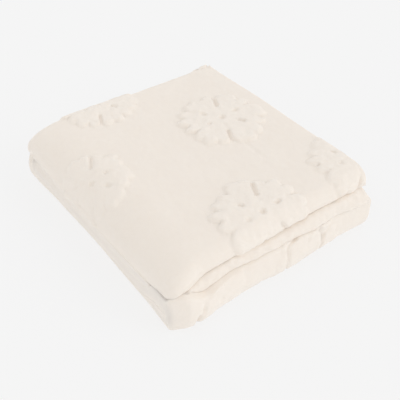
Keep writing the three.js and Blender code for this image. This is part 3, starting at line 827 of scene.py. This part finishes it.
class Shader:
    """A new material, its surface shader, and one way to add nodes to it."""

    def __init__(self, name):
        self.material = bpy.data.materials.new(name)
        self.material.use_nodes = True
        self.tree = self.material.node_tree
        self.surface = self.tree.nodes["Principled BSDF"]

    def node(self, kind, settings=None, sockets=None):
        node = self.tree.nodes.new(kind)
        for key, value in (settings or {}).items():
            setattr(node, key, value)
        for key, value in (sockets or {}).items():
            self.feed(node.inputs[key], value)
        return Node(self, node)

    def feed(self, socket, value):
        if isinstance(value, Term):
            self.tree.links.new(value.socket, socket)
        else:
            socket.default_value = value

    def set(self, **sockets):
        for key, value in sockets.items():
            self.feed(self.surface.inputs[key.replace("_", " ")], value)

    def noise(self, where, row):
        sockets = {"Vector": where, "Scale": row.scale, "Detail": row.detail, "Roughness": row.roughness}
        return self.node("ShaderNodeTexNoise", {"noise_dimensions": "3D"}, sockets).out()

    def blend(self, factor, first, second):
        made = self.node("ShaderNodeMix", {"data_type": "RGBA"}, {0: factor, 6: first, 7: second})
        return made.out(2)


def plush_material(colours):
    """Thick matt plush: short fine pile with painted shade between its tufts, a softly mottled ground and
    fuller flakes.
    """
    shader = Shader("plush")
    where = shader.node("ShaderNodeTexCoord").out("Object")
    raised = shader.node("ShaderNodeAttribute", {"attribute_name": "raised"}).out("Fac")
    pile, tufts, clouds = (shader.noise(where, row) for row in (PILE, TUFTS, CLOUDS))
    light = LIGHTER.base + LIGHTER.pile * pile + LIGHTER.tufts * tufts + LIGHTER.clouds * clouds
    light = light + LIGHTER.raised * raised
    # The base colour mixes the colour of the pile's tips with painted shade down between its tufts, and a
    # random mottle.
    shader.set(Base_Color=shader.blend(light, (*colours.pile_shade, 1), (*colours.plush, 1)), Roughness=0.92)
    shader.set(Specular_IOR_Level=0.15)
    shader.set(Sheen_Weight=0.25, Sheen_Roughness=0.5, Sheen_Tint=(1.0, 0.96, 0.91, 1))
    shader.set(Subsurface_Weight=0.35, Subsurface_Scale=0.0025, Subsurface_Radius=(1.0, 1.0, 1.0))
    fuller = PILE_BUMP.plain + (1 - PILE_BUMP.plain) * raised
    height = (PILE_BUMP.fine * pile + tufts) * fuller
    sockets = {"Strength": PILE_BUMP.strength, "Distance": PILE_BUMP.depth, "Height": height}
    shader.set(Normal=shader.node("ShaderNodeBump", None, sockets).out())
    return shader.material


def floor_material(colours):
    """A white floor that takes only a faint shadow, because most of its light is its own."""
    shader = Shader("floor")
    where = shader.node("ShaderNodeTexCoord").out("Object")
    darker = tuple(FLOOR_TONE * value for value in colours.floor)
    grain = shader.noise(where, GRAIN)
    shader.set(Base_Color=shader.blend(grain, (*darker, 1), (*colours.floor, 1)), Roughness=0.9)
    shader.set(Specular_IOR_Level=0.0, Emission_Color=(1, 1, 1, 1), Emission_Strength=0.725)
    return shader.material


# Properties


class ThrowSizes(PropertyGroup):
    """Sizes of the throw and of its flakes."""

    pack_width: FloatProperty(
        name="Pack width", description="Width of the folded throw", default=0.325, unit="LENGTH")
    pack_depth: FloatProperty(
        name="Pack depth", description="Depth of the folded throw, front to back", default=0.381,
        unit="LENGTH")
    cloth: FloatProperty(
        name="Cloth", description="Thickness of the cloth with its pile", default=0.0052, unit="LENGTH")
    layer_pitch: FloatProperty(
        name="Layer pitch", description="Spacing of the folded layers", default=0.0056, unit="LENGTH")
    flake_radius: FloatProperty(
        name="Flake radius", description="From the middle of a raised snowflake to the tips of its arms",
        default=0.066, unit="LENGTH")
    flake_rise: FloatProperty(
        name="Flake rise", description="Height of the raised pile over the ground", default=0.0045,
        unit="LENGTH")


class ThrowColours(PropertyGroup):
    """Colours of the plush and of the floor."""

    plush: FloatVectorProperty(
        name="Plush", description="Colour of the tips of the pile", default=(0.925, 0.857, 0.785),
        subtype="COLOR")
    # Painted shade: the darker colour stands for the shade down between the tufts of the pile, and is also
    # the dark end of its mottle.
    pile_shade: FloatVectorProperty(
        name="Hollow", description="Colour between the tufts of the pile", default=(0.865, 0.785, 0.705),
        subtype="COLOR")
    floor: FloatVectorProperty(
        name="Floor", description="Colour of the floor", default=(0.2, 0.2, 0.2), subtype="COLOR")


class StageSettings(PropertyGroup):
    """The camera, which was fitted to the photograph, and the light."""

    azimuth: FloatProperty(
        name="Azimuth", description="Direction of the camera round the throw, from its front",
        default=math.radians(-36.08), subtype="ANGLE")
    elevation: FloatProperty(
        name="Elevation", description="Height of the camera over the floor, as an angle",
        default=math.radians(40.28), subtype="ANGLE")
    distance: FloatProperty(
        name="Distance", description="From the camera to the middle of the footprint", default=0.8864,
        unit="LENGTH")
    lens: FloatProperty(name="Lens", description="Focal length in millimetres", default=55.19)
    ambient: FloatProperty(
        name="Ambient", description="Strength of the light from all round", default=0.885)
    key: FloatProperty(
        name="Key", description="Strength of the soft light from the right front", default=0.42)


# Operators

# The stage: the floor's side in metres, where the soft light comes from and how broad it is, and the camera's
# sensor. The lens axis meets the photograph this many pixels off its middle.
FLOOR_SIZE = 12
KEY_FROM = Vector((0.62, -0.78, 0.5))
KEY_DISTANCE = 2.0
KEY_BREADTH = math.radians(35)
SENSOR_WIDTH = 36
PHOTO_PIXELS = 400
AXIS_PIXELS = SimpleNamespace(x=9.68, y=0.35)


class THROW_OT_cloth(Operator):
    """Make the folded cloth with its raised flakes."""

    bl_idname = "throw.cloth"
    bl_label = "Folded cloth"

    def execute(self, context):
        sizes = context.scene.throw_sizes
        fold = Fold(sizes)
        cloth = flat_cloth(fold, "folded_cloth")
        divide(cloth, fold, lambda *place: bends(*place) | shows(*place), BEND_CUTS)
        divide(cloth, fold, shows, SHOW_CUTS)
        fold_up(cloth, fold, Relief(sizes, fold))
        bpy.ops.object.shade_smooth()
        cloth.data.materials.clear()
        cloth.data.materials.append(plush_material(context.scene.throw_colours))
        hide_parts(CLOTH_NODE)
        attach(cloth, BODY)
        return {"FINISHED"}


class THROW_OT_stage(Operator):
    """Lay the floor, set the soft light and place the camera."""

    bl_idname = "throw.stage"
    bl_label = "Stage"

    def execute(self, context):
        scene = context.scene
        settings = scene.throw_stage
        bpy.ops.object.select_all(action="DESELECT")
        bpy.ops.mesh.primitive_plane_add(size=FLOOR_SIZE)
        floor = context.object
        floor.name = floor.data.name = "floor"
        floor.data.materials.append(floor_material(scene.throw_colours))

        bpy.ops.object.light_add(type="SUN")
        key = context.object
        key.name = key.data.name = "key_light"
        key.data.energy = settings.key
        key.data.angle = KEY_BREADTH
        key.matrix_world = looking(KEY_FROM, KEY_DISTANCE)

        world = bpy.data.worlds.new("studio")
        world.use_nodes = True
        backdrop = world.node_tree.nodes["Background"]
        backdrop.inputs["Color"].default_value = (1, 1, 1, 1)
        backdrop.inputs["Strength"].default_value = settings.ambient
        scene.world = world
        scene.view_settings.view_transform = "Standard"
        scene.view_settings.look = "None"

        bpy.ops.object.camera_add()
        camera = context.object
        camera.name = camera.data.name = "photo_camera"
        camera.data.sensor_fit = "HORIZONTAL"
        camera.data.sensor_width = SENSOR_WIDTH
        camera.data.lens = settings.lens
        camera.data.shift_x = AXIS_PIXELS.x / PHOTO_PIXELS
        camera.data.shift_y = AXIS_PIXELS.y / PHOTO_PIXELS
        az, el = settings.azimuth, settings.elevation
        towards = Vector((math.sin(az) * math.cos(el), -math.cos(az) * math.cos(el), math.sin(el)))
        camera.matrix_world = looking(towards, settings.distance)
        scene.camera = camera
        return {"FINISHED"}


def looking(towards, distance):
    """A matrix at a distance in one direction, looking back at the origin."""
    back = towards.normalized()
    right = Vector((-back.y, back.x, 0)).normalized()
    up = back.cross(right)
    turned = Matrix((right, up, back)).transposed().to_4x4()
    turned.translation = back * distance
    return turned


class THROW_PT_panel(Panel):
    """Sizes, colours and stage of the throw in the sidebar."""

    bl_idname = "THROW_PT_panel"
    bl_label = "Folded throw"
    bl_space_type = "VIEW_3D"
    bl_region_type = "UI"
    bl_category = "Throw"

    def draw(self, context):
        scene = context.scene
        for title, group in (("Sizes", scene.throw_sizes), ("Colours", scene.throw_colours),
                             ("Stage", scene.throw_stage)):
            box = self.layout.box()
            box.label(text=title)
            for key in group.__annotations__:
                box.prop(group, key)
        self.layout.operator(THROW_OT_cloth.bl_idname)
        self.layout.operator(THROW_OT_stage.bl_idname)


CLASSES = (ThrowSizes, ThrowColours, StageSettings, THROW_OT_cloth, THROW_OT_stage, THROW_PT_panel)
GROUPS = {"throw_sizes": ThrowSizes, "throw_colours": ThrowColours, "throw_stage": StageSettings}


def register():
    for cls in CLASSES:
        bpy.utils.register_class(cls)
    for name, group in GROUPS.items():
        setattr(bpy.types.Scene, name, PointerProperty(type=group))


def unregister():
    for name in GROUPS:
        delattr(bpy.types.Scene, name)
    for cls in reversed(CLASSES):
        bpy.utils.unregister_class(cls)


def main():
    register()
    bpy.ops.throw.cloth()
    bpy.ops.throw.stage()


if __name__ == "__main__":
    main()
